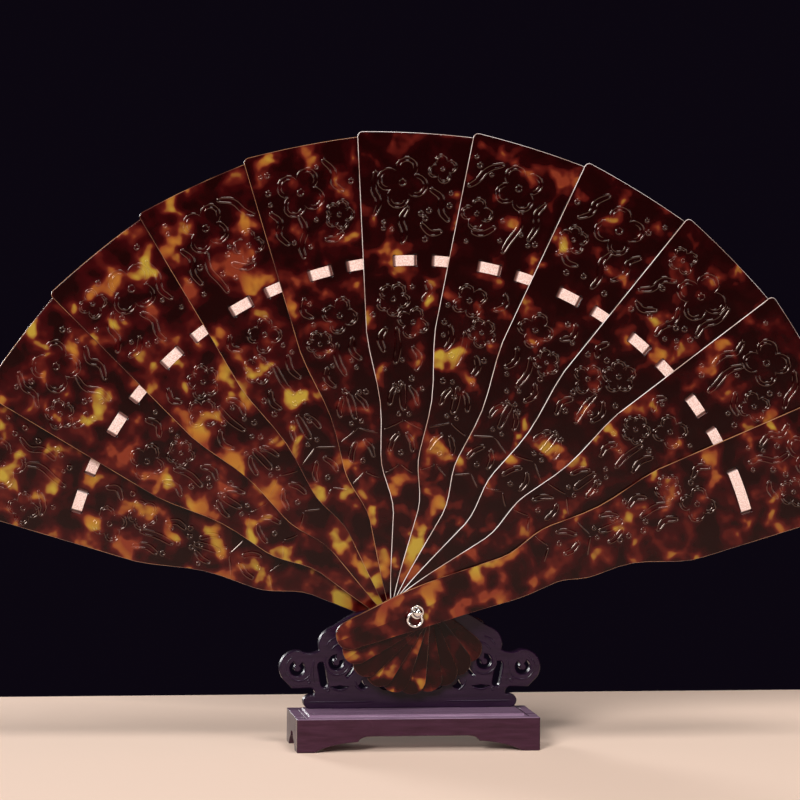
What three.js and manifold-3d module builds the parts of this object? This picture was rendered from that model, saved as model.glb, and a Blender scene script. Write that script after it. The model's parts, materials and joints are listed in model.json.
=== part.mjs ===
// Decorative brise fan, standing open on a carved stand. Millimetres, +Z up, the fan faces -Y.
// The origin is on the floor under the middle of the stand.
import * as THREE from "three";
import { mergeVertices } from "three/addons/utils/BufferGeometryUtils.js";
import Module from "manifold-3d";

const wasm = await Module();
wasm.setup();

// Fan: blades
const STICKS = 9; // thin blades between the two guards
const BLADE_STEP = 14; // degrees between neighbouring blades when the ribbon is taut
const BLADE_REACH = 205.5; // rivet axis to the top corner that shows
const TOP_DROP = 1.9; // how much lower the covered top corner is
const TOP_CORNER_RADIUS = 2.2;
const RIM_TAPER = 0.055; // widening of each edge per millimetre above the upper shoulder
const TAIL_REACH = 36.6; // rivet axis to the end of the tail
const TAIL_RADIUS = 6.2; // the round end of the tail
const TAIL_OFFSET = 0.6; // its centre, off the centre line towards the shown edge
const STICK_THICKNESS = 0.9;
const GUARD_THICKNESS = 1.8;
const BLADE_GAP = 0.6; // air between neighbouring blades, where the ribbon runs
const LAND_RADIUS = 5.2; // raised ring round the bore that keeps neighbours apart
const LAND_CLEARANCE = 0.1;

// Both long edges curve past the rivet to a neck and then swell in two ogee steps.
// Heights are from the rivet axis, widths from the centre line. A head point is [width, height].
const SHOWN_EDGE = {
  head: [[9.1, -11], [10.1, 0], [10.4, 15]],
  neck: 9.5, lowerFrom: 42, lowerTo: 67, waist: 15.2, upperFrom: 82, upperTo: 127, body: 22.4,
};
const COVERED_EDGE = {
  head: [[6.6, -14.5], [7.4, 0], [8.8, 27], [9.9, 45]],
  neck: 9, lowerFrom: 61, lowerTo: 78, waist: 12.1, upperFrom: 89, upperTo: 127, body: 21.2,
};

// Fan: ribbon
const RIBBON_SHARE = 0.733; // rivet axis to the ribbon's centre line, as a share of the reach
const RIBBON_WIDTH = 4.5;
const RIBBON_THICKNESS = 0.15;
const SLIT_WIDTH = 1.6; // along the ribbon
const SLIT_MARGIN = 0.4; // slit past each edge of the ribbon
const SLIT_CORNER = 0.5;
const OUTER_BEND = 0.38; // share of a slit's width from its middle to the ribbon's bend in front
const INNER_BEND = 0.06; // the same, to the bend behind
// Places along the ribbon, in degrees from a blade's centre line, positive towards its covered edge.
const ENTRY_SLIT = -3.8;
const DIVE_SLIT = -0.45;
const RISE_SLIT = 2.65;
const GUARD_DIVE_SLIT = 3.4; // the front guard's long stretch ends here
const LEAD_IN_START = -7.9; // where a stretch starts, behind the blade's shown margin
const RUN_OUT_END = 7.6; // where it ends, under the next blade's margin
const GLUED_END = 5.6; // where the ribbon's two glued ends stop, on either side
const LEAD_IN_KNEE = -5.3; // where a lead-in that crosses the stand's panel lies flat again

// Rivet and its ring
const SHAFT_RADIUS = 1.3;
const BORE_CLEARANCE = 0.15;
const WASHER_RADIUS = 2.9;
const WASHER_THICKNESS = 0.5;
const WASHER_GAP = 0.1;
const KNOB_RADIUS = 2.2;
const KNOB_SEAT_RADIUS = 1.5; // flat shoulder of the knob, against the washer
const PEENED_RADIUS = 2.1; // the dome behind
const PEENED_HEIGHT = 1.2;
const RING_RADIUS = 3.1; // centre line of the ring's wire
const RING_WIRE_RADIUS = 0.62;
const RING_CLEARANCE = 0.25;
const RING_HANG = 247; // direction of the ring from the knob, degrees from +X

// Stand: base
const BASE_LENGTH = 105;
const BASE_DEPTH = 38;
const BASE_HEIGHT = 14.4;
const APRON_THICKNESS = 7;
const RABBET_WIDTH = 3; // ledge inside the boards that carries the top panel
const RABBET_DEPTH = 3;
const FOOT_LENGTH = 7.6; // flat of a foot along the floor, seen from the front
const SIDE_FOOT_LENGTH = 8.6; // the same seen from the side, over both boards of the corner
const ARCH_HEIGHT = 6.8;
const ARCH_CUSP_HEIGHT = 4.5; // the cusp between the foot's sweep and the arch
const LONG_ARCH_RUN = 24; // foot's end to the arch's flat top, long boards
const SHORT_ARCH_RUN = 8; // the same, short boards
const TOP_PANEL_RISE = 1; // top panel above the boards
const TOP_PANEL_STEP = 1.6; // width of the moulded step round it
const JOINT_GAP = 0.3;

// Stand: scroll panel. Heights are above the base.
const PANEL_THICKNESS = 5.5;
const PANEL_CLEARANCE = 0.35; // to the blade on either side
const PIVOT_ABOVE_BASE = 43.4; // rivet axis above the top panel
const RAIL_HALF_LENGTH = 46.8;
const RAIL_HEIGHT = 5.8;
const TENON_NEAR = 22;
const TENON_FAR = 34;
const TENON_DEPTH = 3.6;
const PANEL_EDGE_BEVEL = 0.4;
const EAR = { x: RAIL_HALF_LENGTH + 2.6, z: 17.5, radius: 7.8 };
const LOBE = { x: RAIL_HALF_LENGTH - 14.4, z: 27.6, radius: 7.8 };
const CREST_ABOVE_PIVOT = 3.6;
const CREST_DIP = 5.8; // the crest dips by this much
const CREST_RUN = 22; // at this distance from the middle
const NOTCH_MOUTH = 3.4; // half width of the notch's flared mouth
const EYE = { radius: 3.4, tongue: 1.5, sweep: 290 }; // scroll-shaped hole, in ear and lobe
const EAR_EYE_START = 130; // degrees, where the scroll opens
const LOBE_EYE_START = 160;
const LOBE_EYE_DROP = 7.6; // the lobe's eye lies this far below the lobe's centre
const BROW = { radius: 8.2, width: 1.2, start: 190, sweep: 45 }; // curved slot round the lobe's eye
const BAR = { x: RAIL_HALF_LENGTH - 8.5, length: 7.9, radius: 1.7, tilt: 80 }; // slot inside the ear
const CRESCENTS = [ // from the lobe inwards
  { x: RAIL_HALF_LENGTH - 15.8, halfWidth: 3.8, depth: 1.4, rise: 0.5 },
  { x: RAIL_HALF_LENGTH - 25.6, halfWidth: 2.6, depth: 1.2, rise: 3 },
  { x: RAIL_HALF_LENGTH - 35.8, halfWidth: 2.6, depth: 1.2, rise: 1.6 },
];
const CRESCENTS_ABOVE_RAIL = 3.6;

const SHELL = { color: 0x3a1210, roughness: 0.18, metalness: 0 };
const SATIN = { color: 0xe8c4c0, roughness: 0.45, metalness: 0 };
const STEEL = { color: 0xd8d6d2, roughness: 0.22, metalness: 1 };
const LACQUERED_WOOD = { color: 0x3b2236, roughness: 0.3, metalness: 0 };

const radians = THREE.MathUtils.degToRad;
const root = new THREE.Group();

function add(parent, name, geometry, look) {
  const mesh = new THREE.Mesh(geometry, new THREE.MeshStandardMaterial(look));
  mesh.name = name;
  parent.add(mesh);
  return mesh;
}

// Closed geometry to a solid for cutting and joining, and back.
function solid(geometry) {
  const bare = geometry.clone();
  bare.deleteAttribute("normal");
  bare.deleteAttribute("uv");
  const merged = mergeVertices(bare, 1e-4);
  return new wasm.Manifold(new wasm.Mesh({
    numProp: 3,
    vertProperties: merged.attributes.position.array,
    triVerts: new Uint32Array(merged.index.array),
  }));
}

function geometryOf(manifold) {
  const mesh = manifold.getMesh();
  const geometry = new THREE.BufferGeometry();
  geometry.setAttribute("position", new THREE.BufferAttribute(new Float32Array(mesh.vertProperties), 3));
  geometry.setIndex(new THREE.BufferAttribute(new Uint32Array(mesh.triVerts), 1));
  geometry.computeVertexNormals();
  return geometry;
}

// A plate in the XZ plane: its outline is drawn in X and Z, and it fills Y from front to back.
function plate(shape, front, back, curveSegments = 6) {
  const geometry = new THREE.ExtrudeGeometry(shape, {
    depth: back - front, bevelEnabled: false, curveSegments,
  });
  return geometry.rotateX(Math.PI / 2).translate(0, back, 0);
}

function box(x0, x1, y0, y1, z0, z1) {
  const geometry = new THREE.BoxGeometry(x1 - x0, y1 - y0, z1 - z0);
  return geometry.translate((x0 + x1) / 2, (y0 + y1) / 2, (z0 + z1) / 2);
}

function arc(cx, cy, radius, from, to, steps) {
  const curve = new THREE.EllipseCurve(cx, cy, radius, radius, radians(from), radians(to), to < from);
  return curve.getPoints(steps);
}

// Where the pieces lie in depth. The middle stick's mid plane is y = 0, and +Y is the back.
const bladeCount = STICKS + 2;
const middle = (bladeCount - 1) / 2;
const stickPitch = STICK_THICKNESS + BLADE_GAP;
const foremostStickFront = -((middle - 1) * stickPitch + STICK_THICKNESS / 2);
const rearmostStickBack = (middle - 1) * stickPitch + STICK_THICKNESS / 2;
const panelFront = rearmostStickBack + PANEL_CLEARANCE;
const panelBack = panelFront + PANEL_THICKNESS;
const rearGuardFront = panelBack + PANEL_CLEARANCE;
const rearGuardBack = rearGuardFront + GUARD_THICKNESS;
const frontGuardBack = foremostStickFront - BLADE_GAP;
const frontGuardFront = frontGuardBack - GUARD_THICKNESS;
const baseTop = BASE_HEIGHT + TOP_PANEL_RISE;
const pivotHeight = baseTop + PIVOT_ABOVE_BASE;
const boreRadius = SHAFT_RADIUS + BORE_CLEARANCE;
const ribbonRadius = BLADE_REACH * RIBBON_SHARE;

// Blades are counted from the rear guard, 0, at the left to the front guard at the right.
function bladeDepth(index) {
  if (index === 0) return { front: rearGuardFront, back: rearGuardBack };
  if (index === bladeCount - 1) return { front: frontGuardFront, back: frontGuardBack };
  const mid = (middle - index) * stickPitch;
  return { front: mid - STICK_THICKNESS / 2, back: mid + STICK_THICKNESS / 2 };
}

// Blade outline

function ease(t) {
  return (1 - Math.cos(Math.PI * THREE.MathUtils.clamp(t, 0, 1))) / 2;
}

function halfWidth(edge, height) {
  const lower = ease((height - edge.lowerFrom) / (edge.lowerTo - edge.lowerFrom));
  const upper = ease((height - edge.upperFrom) / (edge.upperTo - edge.upperFrom));
  return edge.neck + (edge.waist - edge.neck) * lower + (edge.body - edge.waist) * upper
    + RIM_TAPER * Math.max(0, height - edge.upperTo);
}

// One long edge from the tail's round end to the foot of its top corner, as [half width, height].
function longEdge(edge, tailOffset, top) {
  const points = new THREE.SplineCurve([
    new THREE.Vector2(TAIL_RADIUS + tailOffset, TAIL_RADIUS - TAIL_REACH),
    ...edge.head.map(([width, height]) => new THREE.Vector2(width, height)),
    new THREE.Vector2(edge.neck, edge.lowerFrom),
  ]).getPoints(12);
  const steps = 6;
  for (let i = 1; i <= steps; i++) {
    const height = THREE.MathUtils.lerp(edge.lowerFrom, edge.lowerTo, i / steps);
    points.push(new THREE.Vector2(halfWidth(edge, height), height));
  }
  for (let i = 0; i <= steps; i++) {
    const height = THREE.MathUtils.lerp(edge.upperFrom, edge.upperTo, i / steps);
    points.push(new THREE.Vector2(halfWidth(edge, height), height));
  }
  const foot = top - TOP_CORNER_RADIUS;
  points.push(new THREE.Vector2(halfWidth(edge, foot), foot));
  return points;
}

// The shown edge is towards -X and the covered edge towards +X.
function bladeShape(slitAngles) {
  const coveredTop = BLADE_REACH - TOP_DROP;
  const covered = longEdge(COVERED_EDGE, -TAIL_OFFSET, coveredTop);
  const shown = longEdge(SHOWN_EDGE, TAIL_OFFSET, BLADE_REACH);
  const coveredRim = covered.at(-1).x - TOP_CORNER_RADIUS;
  const shownRim = shown.at(-1).x - TOP_CORNER_RADIUS;
  const topEdge = new THREE.QuadraticBezierCurve(
    new THREE.Vector2(coveredRim, coveredTop),
    new THREE.Vector2(0, BLADE_REACH + TOP_DROP / 4),
    new THREE.Vector2(-shownRim, BLADE_REACH),
  );
  const tail = arc(-TAIL_OFFSET, TAIL_RADIUS - TAIL_REACH, TAIL_RADIUS, 180, 360, 10).slice(1, -1);
  const outline = [
    ...covered,
    ...arc(coveredRim, coveredTop - TOP_CORNER_RADIUS, TOP_CORNER_RADIUS, 0, 90, 4).slice(1, -1),
    ...topEdge.getPoints(6),
    ...arc(-shownRim, BLADE_REACH - TOP_CORNER_RADIUS, TOP_CORNER_RADIUS, 90, 180, 4).slice(1, -1),
    ...shown.map((p) => new THREE.Vector2(-p.x, p.y)).reverse(),
    ...tail,
  ];
  const shape = new THREE.Shape(outline);
  shape.holes = slitAngles.map(slit);
  return shape;
}

// A slit is a rectangle with clipped corners, square to the ribbon, at an angle from the centre line.
function slit(angle) {
  const across = SLIT_WIDTH / 2;
  const along = RIBBON_WIDTH / 2 + SLIT_MARGIN;
  const corners = [];
  for (const [sx, sz] of [[-1, -1], [1, -1], [1, 1], [-1, 1]]) {
    const ends = [[sx * across, sz * (along - SLIT_CORNER)], [sx * (across - SLIT_CORNER), sz * along]];
    if (sx === sz) corners.push(...ends);
    else corners.push(...ends.reverse());
  }
  const turn = -radians(angle);
  return new THREE.Path(corners.map(([x, z]) =>
    new THREE.Vector2(x, ribbonRadius + z)
      .rotateAround(new THREE.Vector2(0, ribbonRadius), turn)
      .add(new THREE.Vector2(
        ribbonRadius * Math.sin(radians(angle)),
        ribbonRadius * (Math.cos(radians(angle)) - 1),
      ))));
}

function disc(radius, front, back, segments = 20) {
  const geometry = new THREE.CylinderGeometry(radius, radius, back - front, segments);
  return geometry.translate(0, (front + back) / 2, 0);
}

function bladeSolid(index) {
  const { front, back } = bladeDepth(index);
  const isFrontGuard = index === bladeCount - 1;
  const slits = isFrontGuard ? [ENTRY_SLIT, GUARD_DIVE_SLIT] : [ENTRY_SLIT, DIVE_SLIT, RISE_SLIT];
  let body = solid(plate(bladeShape(slits), front, back));
  const hasNeighbourInFront = index > 0 && !isFrontGuard;
  if (hasNeighbourInFront) {
    const landFront = front - BLADE_GAP + LAND_CLEARANCE;
    body = body.add(solid(disc(LAND_RADIUS, landFront, (front + back) / 2)));
  }
  const reach = BLADE_GAP + GUARD_THICKNESS;
  body = body.subtract(solid(disc(boreRadius, front - reach, back + reach)));
  return geometryOf(body);
}

// Ribbon: a flat strip bent round the rivet axis. Its route is drawn as [degrees, depth].
function ribbonRoute(index) {
  const { front, back } = bladeDepth(index);
  const outside = front - RIBBON_THICKNESS / 2;
  const inside = back + RIBBON_THICKNESS / 2;
  // It bends round the edge of a slit that is next to its stretch in front.
  const outer = THREE.MathUtils.radToDeg(SLIT_WIDTH * OUTER_BEND / ribbonRadius);
  const inner = THREE.MathUtils.radToDeg(SLIT_WIDTH * INNER_BEND / ribbonRadius);
  const dive = (angle) => [[angle - outer, outside], [angle - inner, inside]];
  const rise = (angle) => [[angle + inner, inside], [angle + outer, outside]];
  if (index === bladeCount - 1) {
    return [[LEAD_IN_START, inside], ...rise(ENTRY_SLIT), ...dive(GUARD_DIVE_SLIT), [GLUED_END, inside]];
  }
  const weave = [...rise(ENTRY_SLIT), ...dive(DIVE_SLIT), ...rise(RISE_SLIT), [RUN_OUT_END, outside]];
  if (index === 0) return [[-GLUED_END, inside], ...weave];
  if (index === 1) {
    const overGuard = rearGuardFront - BLADE_GAP + RIBBON_THICKNESS / 2;
    return [[LEAD_IN_START, overGuard], [LEAD_IN_KNEE, inside], ...weave];
  }
  return [[LEAD_IN_START, inside], ...weave];
}

function ribbonSolid(index) {
  const route = ribbonRoute(index).map(([angle, depth]) =>
    new THREE.Vector2(radians(angle) * ribbonRadius, depth));
  const half = RIBBON_THICKNESS / 2;
  const near = [];
  const far = [];
  route.forEach((point, i) => {
    const before = point.clone().sub(route[Math.max(0, i - 1)]).normalize();
    const after = route[Math.min(route.length - 1, i + 1)].clone().sub(point).normalize();
    const along = before.clone().add(after).normalize();
    const side = new THREE.Vector2(-along.y, along.x);
    const reach = i === 0 || i === route.length - 1
      ? half
      : half / side.dot(new THREE.Vector2(-after.y, after.x));
    near.push(point.clone().addScaledVector(side, -reach));
    far.unshift(point.clone().addScaledVector(side, reach));
  });
  const geometry = new THREE.ExtrudeGeometry(new THREE.Shape([...near, ...far]), {
    depth: RIBBON_WIDTH, bevelEnabled: false,
  });
  const position = geometry.attributes.position;
  for (let i = 0; i < position.count; i++) {
    const angle = position.getX(i) / ribbonRadius;
    const radius = ribbonRadius - RIBBON_WIDTH / 2 + position.getZ(i);
    position.setXYZ(i, radius * Math.sin(angle), position.getY(i), radius * Math.cos(angle));
  }
  return geometryOf(solid(geometry));
}

// Fan on its rivet. Every blade is drawn upright and turned about the rivet axis.
const fan = new THREE.Group();
fan.position.z = pivotHeight;
root.add(fan);

function bladeName(index) {
  if (index === 0) return "rear_guard";
  return index === bladeCount - 1 ? "front_guard" : `stick_${index}`;
}

for (let index = 0; index < bladeCount; index++) {
  const turned = new THREE.Group();
  turned.rotation.y = radians((index - middle) * BLADE_STEP);
  fan.add(turned);
  add(turned, bladeName(index), bladeSolid(index), SHELL);
  add(turned, `ribbon_${bladeName(index)}`, ribbonSolid(index), SATIN);
}

// Rivet: a turned pin with an eye-shaped knob in front and a peened dome behind.
const frontWasherBack = frontGuardFront - WASHER_GAP;
const frontWasherFront = frontWasherBack - WASHER_THICKNESS;
const rearWasherFront = rearGuardBack + WASHER_GAP;
const rearWasherBack = rearWasherFront + WASHER_THICKNESS;
const knobSeat = frontWasherFront - WASHER_GAP;
const knobCentre = knobSeat - Math.sqrt(KNOB_RADIUS ** 2 - KNOB_SEAT_RADIUS ** 2);
const domeSeat = rearWasherBack + WASHER_GAP;

// Turned about Y: the profile holds [radius, depth].
function turned(profile, segments) {
  return new THREE.LatheGeometry(profile, segments);
}

// The eye flares from its middle, so that the ring's round wire can swing through it.
function knobEye() {
  const profile = [];
  const reach = KNOB_RADIUS + RING_CLEARANCE;
  for (let i = -4; i <= 4; i++) {
    const along = (i / 4) * reach;
    const flare = RING_RADIUS - Math.sqrt(RING_RADIUS ** 2 - along ** 2);
    profile.push(new THREE.Vector2(RING_WIRE_RADIUS + RING_CLEARANCE + flare, along));
  }
  profile.unshift(new THREE.Vector2(0, -reach));
  profile.push(new THREE.Vector2(0, reach));
  // The eye runs along the ring's tangent, square to the direction in which the ring hangs.
  const eye = turned(profile, 16).rotateZ(radians(90));
  return eye.rotateY(radians(90 - RING_HANG)).translate(0, knobCentre, 0);
}

function rivetPin() {
  const seatAngle = THREE.MathUtils.radToDeg(Math.asin(KNOB_SEAT_RADIUS / KNOB_RADIUS));
  const knob = arc(0, knobCentre, KNOB_RADIUS, -90, 90 - seatAngle, 12).slice(1);
  const dome = new THREE.QuadraticBezierCurve(
    new THREE.Vector2(PEENED_RADIUS, domeSeat),
    new THREE.Vector2(PEENED_RADIUS, domeSeat + PEENED_HEIGHT),
    new THREE.Vector2(0, domeSeat + PEENED_HEIGHT),
  ).getPoints(5);
  const profile = [
    new THREE.Vector2(0, knobCentre - KNOB_RADIUS),
    ...knob,
    new THREE.Vector2(SHAFT_RADIUS, knobSeat),
    new THREE.Vector2(SHAFT_RADIUS, domeSeat),
    ...dome,
  ];
  return geometryOf(solid(turned(profile, 20)).subtract(solid(knobEye())));
}

function washer(front, back) {
  return turned([
    new THREE.Vector2(boreRadius, front),
    new THREE.Vector2(WASHER_RADIUS, front),
    new THREE.Vector2(WASHER_RADIUS, back),
    new THREE.Vector2(boreRadius, back),
    new THREE.Vector2(boreRadius, front),
  ], 24);
}

function rivetRing() {
  const hang = radians(RING_HANG);
  return new THREE.TorusGeometry(RING_RADIUS, RING_WIRE_RADIUS, 8, 24)
    .rotateX(Math.PI / 2)
    .translate(RING_RADIUS * Math.cos(hang), knobCentre, RING_RADIUS * Math.sin(hang));
}

add(fan, "rivet_pin", rivetPin(), STEEL);
add(fan, "rivet_front_washer", washer(frontWasherFront, frontWasherBack), STEEL);
add(fan, "rivet_rear_washer", washer(rearWasherFront, rearWasherBack), STEEL);
add(fan, "rivet_ring", rivetRing(), STEEL);

// Stand: the base is four boards with bracket feet round a raised top panel.

// A board's front: full height, with an arch between its two feet.
function apronShape(length, footLength, archRun) {
  const half = length / 2;
  const footEnd = half - footLength;
  const cusp = footEnd - archRun * 0.78;
  const archEnd = footEnd - archRun;
  const right = new THREE.Path();
  right.moveTo(archEnd, ARCH_HEIGHT);
  right.quadraticCurveTo(cusp - (cusp - archEnd) * 0.2, ARCH_HEIGHT, cusp, ARCH_CUSP_HEIGHT);
  right.quadraticCurveTo(footEnd - archRun * 0.25, ARCH_CUSP_HEIGHT * 0.8, footEnd, 0);
  right.lineTo(half, 0);
  right.lineTo(half, BASE_HEIGHT);
  const points = right.getPoints(5);
  const mirrored = points.map((p) => new THREE.Vector2(-p.x, p.y)).reverse();
  return new THREE.Shape([...mirrored, ...points]);
}

function apron(length, footLength, archRun, rabbetLength) {
  const board = solid(plate(apronShape(length, footLength, archRun), -APRON_THICKNESS, 0));
  const rabbet = solid(box(
    -rabbetLength / 2, rabbetLength / 2,
    -RABBET_WIDTH, 1,
    BASE_HEIGHT - RABBET_DEPTH, BASE_HEIGHT + 1,
  ));
  return geometryOf(board.subtract(rabbet));
}

const base = new THREE.Group();
root.add(base);
const topPanelLength = BASE_LENGTH - 2 * (APRON_THICKNESS - RABBET_WIDTH);
const topPanelDepth = BASE_DEPTH - 2 * (APRON_THICKNESS - RABBET_WIDTH);
const shortBoardLength = BASE_DEPTH - 2 * APRON_THICKNESS;

for (const [name, turn] of [["base_front_apron", 0], ["base_back_apron", Math.PI]]) {
  const geometry = apron(BASE_LENGTH, FOOT_LENGTH, LONG_ARCH_RUN, topPanelLength);
  const board = add(base, name, geometry, LACQUERED_WOOD);
  board.rotation.z = turn;
  board.position.y = (turn ? 1 : -1) * (BASE_DEPTH / 2 - APRON_THICKNESS);
}
for (const [name, side] of [["base_left_apron", -1], ["base_right_apron", 1]]) {
  const foot = SIDE_FOOT_LENGTH - APRON_THICKNESS;
  const geometry = apron(shortBoardLength, foot, SHORT_ARCH_RUN, shortBoardLength + 2);
  const board = add(base, name, geometry, LACQUERED_WOOD);
  board.rotation.z = side * Math.PI / 2;
  board.position.x = side * (BASE_LENGTH / 2 - APRON_THICKNESS);
}

function topPanel() {
  const halfLength = topPanelLength / 2 - JOINT_GAP;
  const halfDepth = topPanelDepth / 2 - JOINT_GAP;
  const ledge = BASE_HEIGHT - RABBET_DEPTH;
  let panel = solid(box(-halfLength, halfLength, -halfDepth, halfDepth, ledge, BASE_HEIGHT));
  const raised = box(
    TOP_PANEL_STEP - halfLength, halfLength - TOP_PANEL_STEP,
    TOP_PANEL_STEP - halfDepth, halfDepth - TOP_PANEL_STEP,
    ledge, baseTop,
  );
  panel = panel.add(solid(raised));
  for (const side of [-1, 1]) {
    const ends = [side * TENON_NEAR, side * TENON_FAR].sort((a, b) => a - b);
    const mortise = box(
      ends[0] - JOINT_GAP, ends[1] + JOINT_GAP,
      panelFront - JOINT_GAP, panelBack + JOINT_GAP,
      ledge - 1, baseTop + 1,
    );
    panel = panel.subtract(solid(mortise));
  }
  return geometryOf(panel);
}

add(base, "base_top_panel", topPanel(), LACQUERED_WOOD);

// Scroll panel: the right half is drawn and mirrored.

function panelOutline() {
  const crest = PIVOT_ABOVE_BASE + CREST_ABOVE_PIVOT;
  const crestLow = crest - CREST_DIP;
  const nose = RAIL_HEIGHT / 2;
  const neckX = RAIL_HALF_LENGTH - RAIL_HEIGHT;
  const half = new THREE.Path();
  half.moveTo(TENON_NEAR, 0);
  half.lineTo(TENON_NEAR, -TENON_DEPTH);
  half.lineTo(TENON_FAR, -TENON_DEPTH);
  half.lineTo(TENON_FAR, 0);
  half.lineTo(RAIL_HALF_LENGTH - nose, 0);
  half.absarc(RAIL_HALF_LENGTH - nose, nose, nose, -Math.PI / 2, Math.PI / 2, false);
  half.lineTo(neckX + 1, RAIL_HEIGHT);
  half.quadraticCurveTo(neckX, RAIL_HEIGHT + 2, neckX + 2.6, EAR.z - EAR.radius - 0.7);
  half.lineTo(EAR.x + 2.4, EAR.z - EAR.radius - 0.8);
  half.absarc(EAR.x, EAR.z, EAR.radius, radians(-35), radians(98), false);
  const junction = new THREE.Vector2(LOBE.x + LOBE.radius * Math.cos(radians(-18)),
    LOBE.z + LOBE.radius * Math.sin(radians(-18)));
  half.quadraticCurveTo(EAR.x - 5, EAR.z + EAR.radius - 2.6, junction.x, junction.y);
  half.absarc(LOBE.x, LOBE.z, LOBE.radius, radians(-18), radians(62), false);
  const lobeTop = LOBE.z + LOBE.radius;
  half.bezierCurveTo(LOBE.x - 2, lobeTop + 1.6, CREST_RUN + 5, crestLow, CREST_RUN, crestLow + 0.6);
  half.bezierCurveTo(CREST_RUN - 6, crestLow + 1.2, CREST_RUN / 2, crest, NOTCH_MOUTH + 2, crest);
  half.lineTo(NOTCH_MOUTH, crest);
  half.quadraticCurveTo(boreRadius, crest - 1, boreRadius, PIVOT_ABOVE_BASE);
  half.absarc(0, PIVOT_ABOVE_BASE, boreRadius, 0, -Math.PI / 2, true);
  const points = half.getPoints(5);
  const mirrored = points.slice(0, -1).map((p) => new THREE.Vector2(-p.x, p.y)).reverse();
  return [...points, ...mirrored];
}

// A scroll is a ring-shaped hole that stops short of closing, so that a tongue curls into it.
function scrollHole(x, z, outer, inner, from, sweep, side) {
  const path = [
    ...arc(x, z, outer, from, from + sweep, 12),
    ...arc(x, z, inner, from + sweep, from, 8),
  ];
  return new THREE.Path(path.map((p) => new THREE.Vector2(side * p.x, p.y)));
}

// A long hole with round ends.
function slot(x, z, length, radius, tilt, side) {
  const dx = length / 2 * Math.cos(radians(tilt));
  const dz = length / 2 * Math.sin(radians(tilt));
  const path = [
    ...arc(x + dx, z + dz, radius, tilt - 90, tilt + 90, 5),
    ...arc(x - dx, z - dz, radius, tilt + 90, tilt + 270, 5),
  ];
  return new THREE.Path(path.map((p) => new THREE.Vector2(side * p.x, p.y)));
}

// A hole with a round lower rim and an upper rim that sags less or rises to a point.
function crescent(x, z, halfWidthOfHole, depth, rise, side) {
  const path = new THREE.Path();
  path.moveTo(x - halfWidthOfHole, z);
  path.quadraticCurveTo(x, z - 2 * depth, x + halfWidthOfHole, z);
  path.quadraticCurveTo(x + halfWidthOfHole * 0.3, z, x, z + rise);
  path.quadraticCurveTo(x - halfWidthOfHole * 0.3, z, x - halfWidthOfHole, z);
  return new THREE.Path(path.getPoints(5).slice(0, -1).map((p) => new THREE.Vector2(side * p.x, p.y)));
}

function scrollPanel() {
  const shape = new THREE.Shape(panelOutline());
  const lobeEye = { x: LOBE.x, z: LOBE.z - LOBE_EYE_DROP };
  const barHeight = (RAIL_HEIGHT + LOBE.z - LOBE_EYE_DROP + EYE.radius) / 2;
  for (const side of [-1, 1]) {
    shape.holes.push(
      scrollHole(EAR.x, EAR.z, EYE.radius, EYE.tongue, EAR_EYE_START, EYE.sweep, side),
      scrollHole(lobeEye.x, lobeEye.z, EYE.radius, EYE.tongue, LOBE_EYE_START, EYE.sweep, side),
      scrollHole(lobeEye.x, lobeEye.z, BROW.radius, BROW.radius - BROW.width, BROW.start, BROW.sweep, side),
      slot(BAR.x, barHeight, BAR.length, BAR.radius, BAR.tilt, side),
      ...CRESCENTS.map((hole) =>
        crescent(hole.x, RAIL_HEIGHT + CRESCENTS_ABOVE_RAIL, hole.halfWidth, hole.depth, hole.rise, side)),
    );
  }
  const geometry = new THREE.ExtrudeGeometry(shape, {
    depth: PANEL_THICKNESS - 2 * PANEL_EDGE_BEVEL,
    bevelThickness: PANEL_EDGE_BEVEL,
    bevelSize: PANEL_EDGE_BEVEL,
    bevelOffset: -PANEL_EDGE_BEVEL,
    bevelSegments: 1,
    curveSegments: 5,
  });
  return geometry.rotateX(Math.PI / 2).translate(0, panelBack - PANEL_EDGE_BEVEL, 0);
}

add(root, "scroll_panel", scrollPanel(), LACQUERED_WOOD).position.z = baseTop;

export default root;
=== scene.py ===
"""A brise folding fan standing open on its carved stand, dressed on the packed frame."""

import json
import math
import random

import bpy
import numpy as np
from bpy.props import FloatProperty, FloatVectorProperty, IntProperty, PointerProperty
from mathutils import Matrix, Vector


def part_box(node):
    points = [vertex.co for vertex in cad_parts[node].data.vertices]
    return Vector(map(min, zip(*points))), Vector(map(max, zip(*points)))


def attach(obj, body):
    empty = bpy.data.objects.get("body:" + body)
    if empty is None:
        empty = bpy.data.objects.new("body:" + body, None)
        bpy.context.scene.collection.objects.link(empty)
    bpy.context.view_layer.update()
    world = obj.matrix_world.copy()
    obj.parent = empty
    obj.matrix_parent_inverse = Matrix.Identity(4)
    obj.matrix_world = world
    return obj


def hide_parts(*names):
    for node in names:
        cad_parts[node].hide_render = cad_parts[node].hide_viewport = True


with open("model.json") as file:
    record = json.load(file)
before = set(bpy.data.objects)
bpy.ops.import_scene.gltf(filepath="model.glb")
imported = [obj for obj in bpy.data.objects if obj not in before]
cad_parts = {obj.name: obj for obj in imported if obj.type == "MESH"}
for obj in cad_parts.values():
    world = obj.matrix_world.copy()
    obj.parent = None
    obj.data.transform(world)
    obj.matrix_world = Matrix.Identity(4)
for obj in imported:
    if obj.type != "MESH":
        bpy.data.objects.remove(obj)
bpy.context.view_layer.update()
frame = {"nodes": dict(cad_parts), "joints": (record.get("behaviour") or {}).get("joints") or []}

bl_info = {
    "name": "Folding fan on a stand",
    "version": (1, 0, 0),
    "blender": (4, 5, 0),
    "location": "3D View > Sidebar > Fan",
    "description": "Dresses a brise fan and its stand with shell, satin, metal and lacquer",
    "category": "Object",
}

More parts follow.
